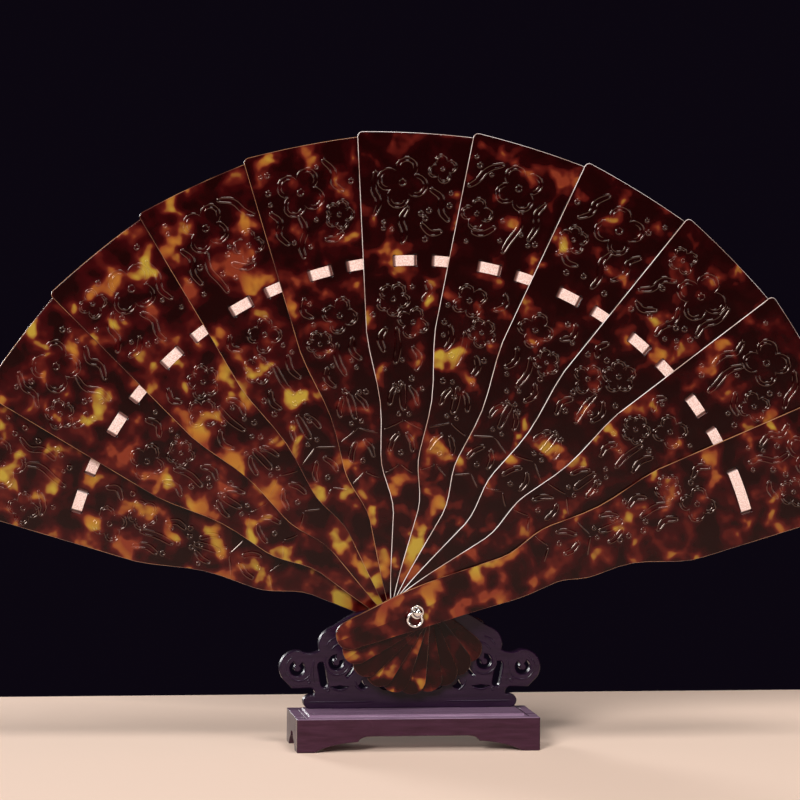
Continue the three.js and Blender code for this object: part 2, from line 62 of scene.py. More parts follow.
MM = 0.001
JOINTS = {joint["name"]: joint for joint in frame["joints"]}
STICK_THICKNESS = 0.9 * MM
GUARD_THICKNESS = 1.8 * MM
GUARDS = ("rear_guard", "front_guard")
BLADES = ["rear_guard", *(f"stick_{k}" for k in range(1, 10)), "front_guard"]
PIVOT_HEIGHT = JOINTS["stick_6_pivot"]["pos_m"][2]
BASE_BOARDS = ("base_front_apron", "base_back_apron", "base_left_apron", "base_right_apron")


# Where each blade is


def body_of(blade):
    return "fan" if blade == "stick_5" else blade + "_body"


def tilt_of(blade):
    """The blade's lean from upright in radians, positive to the right."""
    joint = JOINTS.get(blade + "_pivot")
    return math.radians(sum(joint["range_deg"])) if joint else 0.0


def front_of(blade):
    """Depth of the blade's front face."""
    joint = JOINTS.get(blade + "_pivot")
    middle = joint["pos_m"][1] if joint else 0.0
    thickness = GUARD_THICKNESS if blade in GUARDS else STICK_THICKNESS
    return middle - thickness / 2


def on_blade(blade, across, up):
    """Place of a point given across the blade and up from the rivet, both in metres."""
    tilt = tilt_of(blade)
    x = across * math.cos(tilt) + up * math.sin(tilt)
    z = up * math.cos(tilt) - across * math.sin(tilt)
    return x, PIVOT_HEIGHT + z


# Modelling helpers

MERGE_DISTANCE = 0.002 * MM
FLAT_ANGLE = math.radians(1)
BEAD_END = 0.45  # a carved line's thickness at its ends, as a share of its middle's
BEAD_DEPTH = 0.25 * MM  # how far a carved line reaches into its face


def select_none():
    bpy.ops.object.select_all(action="DESELECT")


def select_only(piece):
    select_none()
    piece.select_set(True)
    bpy.context.view_layer.objects.active = piece


def mode(name):
    bpy.ops.object.mode_set(mode=name)


def select_mesh():
    bpy.ops.mesh.select_all(action="SELECT")


def apply_place():
    """Applies the selected object's place, turn and size to its mesh."""
    bpy.ops.object.transform_apply(location=True, rotation=True, scale=True)


def edit_selected(piece, wanted):
    """Goes into edit mode with only the vertices selected whose place is wanted."""
    select_only(piece)
    mode("EDIT")
    bpy.ops.mesh.select_mode(type="VERT")
    bpy.ops.mesh.select_all(action="DESELECT")
    mode("OBJECT")
    for vertex in piece.data.vertices:
        vertex.select = wanted(vertex.co)
    if not any(vertex.select for vertex in piece.data.vertices):
        raise RuntimeError("nothing to shape on " + piece.name)
    mode("EDIT")


def apply_modifiers(piece):
    select_only(piece)
    for modifier in list(piece.modifiers):
        bpy.ops.object.modifier_apply(modifier=modifier.name)


def body_copy(node, name):
    """A piece with the node's shape, its loose triangles merged into whole faces."""
    piece = bpy.data.objects.new(name, frame["nodes"][node].data.copy())
    piece.data.name = name
    piece.data.materials.clear()
    bpy.context.scene.collection.objects.link(piece)
    select_only(piece)
    mode("EDIT")
    select_mesh()
    bpy.ops.mesh.remove_doubles(threshold=MERGE_DISTANCE)
    bpy.ops.mesh.dissolve_limited(angle_limit=FLAT_ANGLE)
    mode("OBJECT")
    return piece


def soften_edges(piece, width, segments=2, sharper_than=40, share_at=None, clamp=True):
    """Rounds the sharp edges, each by the share that share_at gives, and keeps large faces flat."""
    select_only(piece)
    mode("EDIT")
    bpy.ops.mesh.select_mode(type="EDGE")
    bpy.ops.mesh.select_all(action="DESELECT")
    bpy.ops.mesh.edges_select_sharp(sharpness=math.radians(sharper_than))
    mode("OBJECT")
    mesh = piece.data
    weights = mesh.attributes.new("bevel_weight_edge", "FLOAT", "EDGE")
    for edge in mesh.edges:
        if edge.select:
            middle = (mesh.vertices[edge.vertices[0]].co + mesh.vertices[edge.vertices[1]].co) / 2
            weights.data[edge.index].value = share_at(middle) if share_at else 1.0
    bevel = piece.modifiers.new("rounded edges", "BEVEL")
    bevel.width = width
    bevel.segments = segments
    bevel.limit_method = "WEIGHT"
    bevel.use_clamp_overlap = clamp
    apply_modifiers(piece)
    bpy.ops.object.shade_smooth_by_angle(angle=math.radians(sharper_than))
    flat = piece.modifiers.new("flat faces", "WEIGHTED_NORMAL")
    flat.keep_sharp = True
    apply_modifiers(piece)


def dress(piece, *materials):
    for material in materials:
        piece.data.materials.append(material)


def finish_piece(piece, body, slot, *nodes):
    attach(piece, body)
    if nodes:
        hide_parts(*nodes)


def line_piece(name, strokes, place, radius, height, front):
    """Raised lines on a face. Each is a round bead, thinner at its ends, sunk until it is this high."""
    sink = radius - height
    curve = bpy.data.curves.new(name, "CURVE")
    curve.dimensions = "3D"
    curve.bevel_depth = radius
    curve.bevel_resolution = 3
    curve.use_fill_caps = True
    for stroke in strokes:
        closed = stroke[0] == stroke[-1]
        points = stroke[:-1] if closed else stroke
        spline = curve.splines.new("POLY")
        spline.points.add(len(points) - 1)
        spline.use_cyclic_u = closed
        for i, (across, up) in enumerate(points):
            along = i / (len(points) - 1)
            share = 1 if closed else BEAD_END + (1 - BEAD_END) * math.sin(math.pi * along)
            x, z = place(across, up)
            spline.points[i].co = (x, front + sink * share, z, 1)
            spline.points[i].radius = share
    piece = bpy.data.objects.new(name, curve)
    bpy.context.scene.collection.objects.link(piece)
    select_only(piece)
    bpy.ops.object.convert(target="MESH")
    piece = bpy.context.object
    flatten_back(piece, front + BEAD_DEPTH)
    bpy.ops.object.shade_smooth()
    return piece


def flatten_back(piece, depth):
    """Brings what lies further back than this depth forward to it."""
    edit_selected(piece, lambda place: place.y > depth)
    bpy.ops.transform.resize(value=(1, 0, 1), center_override=(0, depth, 0))
    mode("OBJECT")


# Carved lines, in millimetres. A blade's lines are drawn across from the middle of the part that
# its right neighbour leaves uncovered, and up from the rivet.

BLADE_STEP = math.radians(14)
UPPER_FIELD, LOWER_FIELD = (158, 200), (92, 143)

# Blossoms as across, up, petal radius, petals and turn
UPPER_BLOSSOMS = (
    ((1, 187, 4.5, 4, 35), (-13, 172, 3, 4, 10)),
    ((-3, 186, 4.7, 4, 60), (12, 173, 2.8, 5, 0)),
    ((4, 184, 4.8, 4, 20), (-13, 190, 2.7, 4, 60)),
)
LOWER_BLOSSOMS = (
    ((4, 134, 3.2, 5, 60), (-5, 124, 3, 4, 10)),
    ((-4, 135, 3.3, 4, 30), (5, 123, 2.8, 5, 50)),
    ((5, 131, 3.4, 4, 75), (-6, 121, 2.6, 5, 45)),
)

# Stems and wavy leaves, each as the points of its middle line
UPPER_STEMS = (
    (((5, 177), (7, 171), (4, 164), (3, 159)), ((-9, 195), (-15, 192), (-17, 186), (-20, 183)),
     ((14, 183), (11, 178), (14, 173), (12, 167)), ((-4, 168), (-8, 164), (-12, 164))),
    (((-5, 176), (-3, 170), (-7, 164), (-6, 159)), ((9, 197), (13, 192), (11, 187), (15, 183)),
     ((-17, 180), (-13, 176), (-16, 171), (-12, 166)), ((5, 164), (9, 163), (12, 165))),
    (((1, 173), (4, 168), (1, 163), (2, 158.5)), ((-9, 181), (-14, 178), (-13, 172), (-17, 168)),
     ((16, 188), (17, 181), (13, 176), (15, 170)), ((-6, 166), (-10, 162), (-14, 163))),
)
LOWER_STEMS = (
    (((2, 121), (1.5, 114), (3, 107)), ((-9, 134), (-12, 137), (-10, 141)),
     ((7, 121), (10, 117), (8, 112)), ((-5, 113), (-8, 109), (-6, 104))),
    (((-2, 121), (-1.5, 114), (-3, 107)), ((8, 134), (12, 137), (10, 141)),
     ((-9, 122), (-7, 117), (-9, 112)), ((5, 112), (7, 108), (5, 104))),
    (((1, 119), (-1, 113), (1, 106)), ((-7, 133), (-11, 136), (-9, 141)),
     ((8, 120), (6, 115), (9, 111)), ((-6, 110), (-8, 106), (-5, 102))),
)
STEM_HALF_WIDTH = 0.95
STEM_END, STEM_SWELL = 0.75, 0.45  # shares of the half width

# Parts of a blossom: sizes in petal radii, turns in degrees
EYE_RADIUS, EYE_SWEEP = 0.3, 330
PETAL_PLACE, PETAL_SWEEP = 1.3, 236
INNER_RADIUS, INNER_STARTS, INNER_SWEEPS = 0.66, (-100, -80), (140, 165, 190)
BLOSSOM_REACH = 2.3
BLOSSOM_TURN = 15

# Small rings in the room left
RING_COUNT, RING_TRIES = 9, 300
RING_RADII = (0.75, 1.0)
RING_ROOM, BLOSSOM_ROOM = 2.6, 1.4
MARGIN_BELOW, MARGIN_ABOVE, MARGIN_SIDE = 1, 3, 3

# Borders across the narrow part: cusped lines, loops by their middle lines, and rings
BORDER_HEIGHTS, BORDER_MARGIN = (60.5, 79.3), 1.4
CUSP_RISES, CUSP_GAP = (-1.2, 0.6, 2.6), 0.4
MIDDLE_LOOP, MIDDLE_HALF_WIDTH = ((0, 97), (0.3, 92), (0, 87)), 1.1
SIDE_LOOPS, SIDE_HALF_WIDTH = (((3.2, 96), (5.4, 93), (6, 89)), ((2, 76), (4.4, 73), (5, 69))), 0.8
SIDE_RING, MIDDLE_RING = (2.2, 84.6, 0.75), (0, 68, 0.9)

# A blade's shown edge, as heights above the rivet and widths from the blade's middle
SHOWN_HEIGHTS, SHOWN_WIDTHS = (55, 82, 127, 200), (14.2, 15.2, 22.4, 26.4)
ARC_STEP, FEWEST_STEPS = 20, 5
CUT, CUT_ROUNDS = 0.25, 3  # how much of a line's pieces its corners lose, and how often
SEED = 3


def arc(x, z, radius, start, sweep):
    steps = max(FEWEST_STEPS, int(abs(sweep) / ARC_STEP))
    turns = [math.radians(start + sweep * i / steps) for i in range(steps + 1)]
    return [(x + radius * math.cos(t), z + radius * math.sin(t)) for t in turns]


def through(*points):
    """A smooth line from the first point to the last, its corners cut round."""
    line = list(points)
    keep = 1 - CUT
    for _ in range(CUT_ROUNDS):
        cut = [line[0]]
        for (ax, az), (bx, bz) in zip(line, line[1:]):
            cut += [(keep * ax + CUT * bx, keep * az + CUT * bz),
                    (CUT * ax + keep * bx, CUT * az + keep * bz)]
        line = [*cut, line[-1]]
    return line


def blossom(x, z, petal, petals, turn):
    """Round petals, each with an inner line, round a small eye."""
    lines = [arc(x, z, petal * EYE_RADIUS, turn, EYE_SWEEP)]
    for k in range(petals):
        angle = turn + 360 * k / petals
        dx, dz = math.cos(math.radians(angle)), math.sin(math.radians(angle))
        px, pz = x + petal * PETAL_PLACE * dx, z + petal * PETAL_PLACE * dz
        lines.append(arc(px, pz, petal, angle - PETAL_SWEEP / 2, PETAL_SWEEP))
        start, sweep = angle + INNER_STARTS[k % 2], INNER_SWEEPS[k % 3]
        lines.append(arc(px, pz, petal * INNER_RADIUS, start, sweep))
    return lines


def ribbed(spine, half_width):
    """The outline round a stem's middle line, with round ends."""
    sides = {-1: [], 1: []}
    for i, point in enumerate(spine):
        before, after = spine[max(0, i - 1)], spine[min(len(spine) - 1, i + 1)]
        heading = math.atan2(after[1] - before[1], after[0] - before[0])
        swell = half_width * (STEM_END + STEM_SWELL * math.sin(math.pi * i / (len(spine) - 1)))
        for side, line in sides.items():
            line.append((point[0] - side * swell * math.sin(heading),
                         point[1] + side * swell * math.cos(heading)))
    last = math.degrees(math.atan2(spine[-1][1] - spine[-2][1], spine[-1][0] - spine[-2][0]))
    first = math.degrees(math.atan2(spine[0][1] - spine[1][1], spine[0][0] - spine[1][0]))
    radius = half_width * STEM_END
    outline = [*sides[-1], *arc(*spine[-1], radius, last - 90, 180)[1:-1],
               *reversed(sides[1]), *arc(*spine[0], radius, first - 90, 180)[1:-1]]
    return [*outline, outline[0]]


def shown_span(up):
    """Left and right end of the uncovered part of a blade at this height."""
    width = float(np.interp(up, SHOWN_HEIGHTS, SHOWN_WIDTHS))
    return -width, (up * math.sin(BLADE_STEP) - width) / math.cos(BLADE_STEP)


def half_span(up, margin):
    """Half the width of the uncovered part at this height, less a margin."""
    left, right = shown_span(up)
    return (right - left) / 2 - margin


def small_rings(rng, taken, field):
    """Small rings at places that are free; a taken place is across, up and the room round it."""
    lines = []
    for _ in range(RING_TRIES):
        z = rng.uniform(field[0] + MARGIN_BELOW, field[1] - MARGIN_ABOVE)
        reach = half_span(z, MARGIN_SIDE)
        x = rng.uniform(-reach, reach)
        if len(lines) < RING_COUNT and all(math.dist((x, z), (a, b)) > room for a, b, room in taken):
            taken.append((x, z, RING_ROOM))
            lines.append(ring(x, z, rng.choice(RING_RADII)))
    return lines


def ring(x, z, radius):
    line = arc(x, z, radius, 0, 360)
    return [*line[:-1], line[0]]


def spray(rng, blossoms, stems, field):
    """Blossoms with round-ended stems and leaves, and small rings in the room between them."""
    lines = []
    taken = [(x, z, petal * BLOSSOM_REACH + BLOSSOM_ROOM) for x, z, petal, _, _ in blossoms]
    for x, z, petal, petals, turn in blossoms:
        lines += blossom(x, z, petal, petals, turn + rng.uniform(-BLOSSOM_TURN, BLOSSOM_TURN))
    for points in stems:
        spine = through(*points)
        lines.append(ribbed(spine, STEM_HALF_WIDTH))
        taken += [(x, z, RING_ROOM) for x, z in spine[::4]]
    return lines + small_rings(rng, taken, field)


def borders():
    """Cusped lines across the narrow part, with short loops between them."""
    lines = []
    for height in BORDER_HEIGHTS:
        reach = half_span(height, BORDER_MARGIN)
        low, middle, high = (height + rise for rise in CUSP_RISES)
        for side in (-1, 1):
            lines.append(through((side * reach, low), (side * reach / 2, middle),
                                 (side * CUSP_GAP, high)))
    lines.append(ribbed(through(*MIDDLE_LOOP), MIDDLE_HALF_WIDTH))
    for side in (-1, 1):
        for spine in SIDE_LOOPS:
            lines.append(ribbed(through(*((side * x, z) for x, z in spine)), SIDE_HALF_WIDTH))
        across, up, radius = SIDE_RING
        lines.append(ring(side * across, up, radius))
    lines.append(ring(*MIDDLE_RING))
    return lines


def blade_strokes(index):
    """All lines of a blade in metres from its own centre line; every other blade is mirrored."""
    rng = random.Random(index + SEED)
    mirror = -1 if index % 2 else 1
    upper, lower = index % 3, (index + 1) % 3
    lines = [
        *spray(rng, UPPER_BLOSSOMS[upper], UPPER_STEMS[upper], UPPER_FIELD),
        *spray(rng, LOWER_BLOSSOMS[lower], LOWER_STEMS[lower], LOWER_FIELD),
        *borders(),
    ]
    return [[((mirror * x + sum(shown_span(z)) / 2) * MM, z * MM) for x, z in line] for line in lines]


def panel_strokes():
    """Scroll lines on the panel in metres, drawn in millimetres from its middle and the floor."""
    half = [
        arc(48.9, 33, 5.6, 60, -235), arc(32.2, 35.3, 5.4, 200, 190),
        through((37, 42.5), (35.4, 45.2), (32, 46.6)), through((35, 40.6), (33, 43), (29.6, 44.4)),
        through((42.3, 36.4), (43.2, 31.5), (42.2, 26.6)),
        through((34.6, 24.4), (31, 22.9), (27.4, 24.2)),
        through((24.4, 27.6), (23.4, 24.6), (20.9, 22.9)),
        arc(36.4, 23.6, 0.7, 0, 330), arc(44.6, 27.2, 0.7, 0, 330),
        through((44, 18.3), (30, 18.1), (16, 18.3)),
    ]
    return [[(side * x * MM, z * MM) for x, z in line] for side in (-1, 1) for line in half]


# Finishes

# Clouds of the shell lie where the noise is higher than a rim. Blades are counted from the rear guard
# at the left. Painted shade, as if the light fell from the left, raises the rim and darkens the wine
# on the middle and right blades, and less on the front guard; the left ones' tails lose cloud as
# painted shade, and the right ones' tails gain it.
SHADED_BLADES, SHADED_SHARES = (2, 5, 8, 10), (0, 1, 1, 0.2)
TAIL_BLADES, TAIL_WARMTH = (3, 5, 8), 0.05
GROUND_BELOW, WINE_BELOW, EMBER_ABOVE, CORE_ABOVE = 0.2, 0.07, 0.05, (0.02, 0.11)

# Where a change on the shell is whole, and where it has faded out: height above the rivet, distance
# from the rivet, and angle from the blade's middle
TAIL_HEIGHTS, TAIL_EDGE_HEIGHTS = (-8 * MM, 0), (-2 * MM, 4 * MM)
RIVET_REACHES = (60 * MM, 130 * MM)
EDGE_ANGLES = (math.radians(-10), math.radians(-5.5))

TINT_STOPS = (0.34, 0.46, 0.58)
TINT_SIZE = 2.2  # in cloud sizes
BLADE_SHIFT = (0.37, 0.11, 0.23)  # from one blade's clouds to the next one's

THREAD_SHARE = 0.4  # how much the satin's threads count beside its grain

# Wood grain of the stand, and how far the lacquer's roughness strays
ALONG_X, ALONG_Y = 0, 1
GRAIN_STRETCH = 0.12
ROUGHNESS_STRAYS = (-0.06, 0.08)


def new_material(name):
    material = bpy.data.materials.new(name)
    material.use_nodes = True
    return material, material.node_tree.nodes["Principled BSDF"]


def set_inputs(node, inputs):
    for key, value in inputs.items():
        node.inputs[key].default_value = value


def add_node(material, kind, inputs=None, **settings):
    node = material.node_tree.nodes.new(kind)
    for key, value in settings.items():
        setattr(node, key, value)
    set_inputs(node, inputs or {})
    return node


def link(material, source, output, target, entry):
    material.node_tree.links.new(source.outputs[output], target.inputs[entry])


def ramp(material, source, output, stops):
    node = add_node(material, "ShaderNodeValToRGB")
    elements = node.color_ramp.elements
    while len(elements) < len(stops):
        elements.new(0.5)
    for element, (position, color) in zip(elements, stops):
        element.position = position
        element.color = (*color, 1)
    link(material, source, output, node, "Fac")
    return node


def pattern_place(material, turn=0.0, shift=(0.0, 0.0, 0.0), stretch=(1.0, 1.0, 1.0)):
    coordinates = add_node(material, "ShaderNodeTexCoord")
    place = add_node(material, "ShaderNodeMapping",
                     {"Location": shift, "Rotation": (0, turn, 0), "Scale": stretch})
    link(material, coordinates, "Object", place, "Vector")
    return place


def noise(material, place, size, detail, roughness=0.5, distortion=0.0):
    node = add_node(material, "ShaderNodeTexNoise", {
        "Scale": 1 / size, "Detail": detail, "Roughness": roughness, "Distortion": distortion,
    })
    link(material, place, "Vector", node, "Vector")
    return node


def bump(material, shader, source, output, distance, strength):
    node = add_node(material, "ShaderNodeBump", {"Strength": strength, "Distance": distance})
    link(material, source, output, node, "Height")
    link(material, node, "Normal", shader, "Normal")


def spread(material, source, output, stops, ends=(0.0, 1.0)):
    """Goes from one end to the other while the source goes from one stop to the other."""
    node = add_node(material, "ShaderNodeMapRange", {
        "From Min": stops[0], "From Max": stops[1], "To Min": ends[0], "To Max": ends[1],
    })
    link(material, source, output, node, "Value")
    return node


def add_share(material, total, output, source, source_output, stops, share):
    """Adds a share that fades to nothing from the first stop to the second."""
    fade = spread(material, source, source_output, stops, (share, 0.0))
    node = add_node(material, "ShaderNodeMath", operation="ADD")
    link(material, total, output, node, 0)
    link(material, fade, "Result", node, 1)
    return node


def cloud_height(material, settings, blade, clouds):
    """The cloud pattern, raised by the rivet and along the blade's shown edge, changed on its tail:
    lowered as painted shade on the left blades' tails, raised on the right ones'.
    """
    coordinates = add_node(material, "ShaderNodeTexCoord")
    place = add_node(material, "ShaderNodeVectorMath", {1: (0, 0, PIVOT_HEIGHT)}, operation="SUBTRACT")
    link(material, coordinates, "Object", place, 0)
    reach = add_node(material, "ShaderNodeVectorMath", operation="LENGTH")
    link(material, place, "Vector", reach, 0)
    height = add_node(material, "ShaderNodeSeparateXYZ")
    link(material, place, "Vector", height, "Vector")
    upright = add_node(material, "ShaderNodeMapping", {"Rotation": (0, -tilt_of(blade), 0)})
    link(material, place, "Vector", upright, "Vector")
    across = add_node(material, "ShaderNodeSeparateXYZ")
    link(material, upright, "Vector", across, "Vector")
    angle = add_node(material, "ShaderNodeMath", operation="ARCTAN2")
    link(material, across, "X", angle, 0)
    link(material, across, "Z", angle, 1)
    # The left blades' tails, behind the others, lose cloud as painted shade; the right blades' tails
    # gain cloud
    tails = (-settings.tail_shade, 0.0, TAIL_WARMTH)
    tail = float(np.interp(BLADES.index(blade), TAIL_BLADES, tails))
    total = add_share(material, clouds, "Fac", reach, "Value", RIVET_REACHES, settings.rivet_warmth)
    total = add_share(material, total, "Value", height, "Z", TAIL_HEIGHTS, tail)
    return add_share(material, total, "Value", angle, "Value", EDGE_ANGLES, settings.edge_warmth)


def shell_material(settings, blade, carved=False):
    """Dark mottled shell with amber clouds, its own clouds on each blade, with painted shade on the
    middle and right blades.
    """
    index = BLADES.index(blade)
    # Painted shade: how much the clouds fade and the wine darkens on this blade, as if the light fell
    # from the left
    shade = float(np.interp(index, SHADED_BLADES, SHADED_SHARES))
    material, shader = new_material(("carved_shell_" if carved else "shell_") + blade)
    place = pattern_place(material, -tilt_of(blade), [part * index for part in BLADE_SHIFT])
    clouds = noise(material, place, settings.cloud_size, detail=1.9, roughness=0.45, distortion=0.2)
    warmth = cloud_height(material, settings, blade, clouds)
    tints = noise(material, place, settings.cloud_size * TINT_SIZE, detail=1.0)
    rim = settings.cloud_rim + settings.cloud_shade_rise * shade
    wine = [part * (1 - settings.wine_shade_fall * shade) for part in settings.wine]
    dark = ramp(material, warmth, "Value", [
        (rim - GROUND_BELOW, settings.ground), (rim - WINE_BELOW, wine), (rim, settings.rust),
        (rim + EMBER_ABOVE, settings.ember),
    ])
    tones = (settings.ember, settings.amber, settings.olive)
    warm = ramp(material, tints, "Fac", list(zip(TINT_STOPS, tones)))
    core = spread(material, warmth, "Value", [rim + above for above in CORE_ABOVE])
    mix = add_node(material, "ShaderNodeMixRGB")
    link(material, core, "Result", mix, "Fac")
    link(material, dark, "Color", mix, "Color1")
    link(material, warm, "Color", mix, "Color2")
    link(material, mix, "Color", shader, "Base Color")
    waves = noise(material, place, size=15 * MM, detail=1.0)
    bump(material, shader, waves, "Fac", distance=0.3 * MM, strength=0.2)
    set_inputs(shader, {"Roughness": settings.roughness, "Specular IOR Level": settings.polish})
    if carved:
        set_inputs(shader, {
            "Roughness": settings.roughness / 2, "Specular IOR Level": settings.carved_polish,
            "Specular Tint": (*settings.carved_glint, 1),
        })
    return material


def edge_material(settings, name, dark, pale):
    """Polished edges, dark with pale stretches of painted highlight, and of the shaded edge colour on
    the tails.
    """
    material, shader = new_material(name)
    place = pattern_place(material)
    spots = noise(material, place, size=18 * MM, detail=2.0)
    colors = ramp(material, spots, "Fac", [(0.4, dark), (0.53, pale)])
    heights = add_node(material, "ShaderNodeSeparateXYZ")
    link(material, place, "Vector", heights, "Vector")
    above = spread(material, heights, "Z", [PIVOT_HEIGHT + height for height in TAIL_EDGE_HEIGHTS])
    mix = add_node(material, "ShaderNodeMixRGB", {"Color1": (*settings.shaded_edge, 1)})
    link(material, above, "Result", mix, "Fac")
    link(material, colors, "Color", mix, "Color2")
    link(material, mix, "Color", shader, "Base Color")
    set_inputs(shader, {"Roughness": 0.25, "Coat Weight": 0.8})
    return material


def satin_material(settings):
    """Satin with threads along the ribbon and a finer grain, with painted shade within the slits."""
    material, shader = new_material("satin")
    coordinates = add_node(material, "ShaderNodeUVMap", uv_map="threads")
    inside = add_node(material, "ShaderNodeAttribute", attribute_name="inside")
    threads = add_node(material, "ShaderNodeTexWave",
                       {"Scale": 5.0, "Distortion": 0.8, "Detail": 1.5, "Detail Scale": 2.0},
                       wave_type="BANDS", bands_direction="Y")
    link(material, coordinates, "UV", threads, "Vector")
    grain = noise(material, pattern_place(material), settings.grain_size, detail=1.0)
    weave = add_node(material, "ShaderNodeMath", {1: THREAD_SHARE}, operation="MULTIPLY_ADD")
    link(material, threads, "Fac", weave, 0)
    link(material, grain, "Fac", weave, 2)
    colors = ramp(material, weave, "Value", [
        (0.48, settings.shade), (0.7, settings.color), (0.95, settings.gleam),
    ])
    # Painted shade where the ribbon lies within a slit
    mix = add_node(material, "ShaderNodeMixRGB", {"Color2": (*settings.inner, 1)})
    link(material, inside, "Fac", mix, "Fac")
    link(material, colors, "Color", mix, "Color1")
    link(material, mix, "Color", shader, "Base Color")
    bump(material, shader, threads, "Fac", distance=0.04 * MM, strength=0.5)
    set_inputs(shader, {"Roughness": 0.38, "Sheen Weight": 0.4})
    return material


def metal_material(settings):
    """Bright metal with fine scuffs."""
    material, shader = new_material("polished_metal")
    place = pattern_place(material)
    scuffs = noise(material, place, size=0.6 * MM, detail=2.0)
    tone = ramp(material, scuffs, "Fac", [(0.3, settings.shade), (0.6, settings.color)])
    link(material, tone, "Color", shader, "Base Color")
    bump(material, shader, scuffs, "Fac", distance=0.02 * MM, strength=0.2)
    set_inputs(shader, {"Metallic": 1.0, "Roughness": settings.roughness})
    return material


def lacquer_material(settings, name, dark, light, grain_axis=ALONG_X):
    """Dark lacquer over close-grained wood, whose grain runs along an axis."""
    material, shader = new_material(name)
    stretch = [1.0, 1.0, 1.0]
    stretch[grain_axis] = GRAIN_STRETCH
    place = pattern_place(material, stretch=stretch)
    grain = noise(material, place, size=1.6 * MM, detail=4.0, roughness=0.6, distortion=0.3)
    broad = noise(material, place, size=20 * MM, detail=2.0)
    colors = ramp(material, grain, "Fac", [(0.3, dark), (0.72, light)])
    link(material, colors, "Color", shader, "Base Color")
    roughnesses = [settings.roughness + stray for stray in ROUGHNESS_STRAYS]
    polish = spread(material, broad, "Fac", (0.3, 0.7), roughnesses)
    link(material, polish, "Result", shader, "Roughness")
    bump(material, shader, grain, "Fac", distance=0.05 * MM, strength=0.25)
    set_inputs(shader, {"Specular IOR Level": 0.22, "Coat Weight": 0.1, "Coat Roughness": 0.12})
    return material


def plain_material(name, color, roughness):
    material, shader = new_material(name)
    set_inputs(shader, {"Base Color": (*color, 1), "Roughness": roughness})
    return material


def color_setting(name, description, default):
    return FloatVectorProperty(name=name, description=description, default=default,
                               subtype="COLOR", size=3, min=0, max=1)


def number_setting(name, description, default, low, high, **kind):
    return FloatProperty(name=name, description=description, default=default, min=low, max=high, **kind)


def length_setting(name, description, default, low, high):
    return number_setting(name, description, default, low, high, unit="LENGTH")


def factor_setting(name, description, default, low=0, high=1):
    return number_setting(name, description, default, low, high, subtype="FACTOR")


def angle_setting(name, description, degrees):
    return FloatProperty(name=name, description=description, default=math.radians(degrees),
                         subtype="ANGLE")


class FanShellSettings(bpy.types.PropertyGroup):
    """Shell of the blades."""
    ground: color_setting("Ground", "The darkest shell", (0.0075, 0.0001, 0.0002))
    wine: color_setting("Wine", "Redder parts of the dark shell", (0.03, 0.0008, 0.0014))
    rust: color_setting("Rust", "Rim of the clouds", (0.07, 0.006, 0.004))
    ember: color_setting("Ember", "Reddest clouds", (0.16, 0.024, 0.01))
    amber: color_setting("Amber", "Middle of the clouds", (0.31, 0.115, 0.016))
    olive: color_setting("Olive", "Yellowest clouds", (0.33, 0.215, 0.026))
    # Edge colours with painted light: the later blades' edges are pale as painted highlight, the first
    # blades' edges and all tails take a darker shaded copy
    shaded_edge: color_setting("Dark edges", "Edges of the first blades", (0.09, 0.025, 0.014))
    shaded_edge_light: color_setting("Warm edges", "Palest parts of the dark edges", (0.34, 0.15, 0.07))
    edge_highlight: color_setting("Pale edges", "Edges of the later blades", (0.86, 0.74, 0.7))
    edge_highlight_dim: color_setting("Pale edges, shade", "Darkest parts of the pale edges", (0.5, 0.34, 0.28))
    lit_edges_from: IntProperty(name="Pale edges from", description="First blade with pale edges",
                                 default=5, min=0, max=10)
    cloud_size: length_setting("Cloud size", "Size of the clouds", 0.0105, 0.002, 0.1)
    cloud_rim: number_setting("Cloud rim", "Height of the noise at a cloud's rim", 0.585, 0.3, 0.8)
    # Painted shade on the middle and right blades: the cloud rim rises and the wine falls
    cloud_shade_rise: number_setting("Cloud fade", "Rise of the rim to the middle blade", 0.065, 0, 0.3)
    wine_shade_fall: factor_setting("Wine fade", "Fading of the wine to the middle blade", 0.5)
    rivet_warmth: number_setting("Rivet warmth", "Rise of the noise by the rivet", 0.02, 0, 0.3)
    edge_warmth: number_setting("Edge warmth", "Rise of the noise at the shown edge", 0.045, 0, 0.3)
    # Painted shade on the tails of the left blades, which lie behind the others
    tail_shade: number_setting("Tail fade", "Fall of the noise on the left blades' tails", 0.1, 0, 0.5)
    edge_radius: length_setting("Edge radius", "Rounding of a blade's edges", 0.0004, 0.00005, 0.00044)
    roughness: factor_setting("Roughness", "Roughness of the polished faces", 0.18)
    polish: factor_setting("Polish", "Strength of the shell's reflection", 0.2)
    carved_polish: factor_setting("Carved polish", "Strength of the carved lines' reflection", 0.75)
    carved_glint: color_setting("Carved glint", "Tint of the carved lines' reflection", (1.0, 0.8, 0.7))


class FanCarvingSettings(bpy.types.PropertyGroup):
    """Carved lines of blades and stand."""
    line_radius: length_setting("Line radius", "Rounding of a carved line", 0.0006, 0.0001, 0.002)
    line_height: length_setting("Line height", "Height of a carved line", 0.00025, 0.0001, 0.0005)


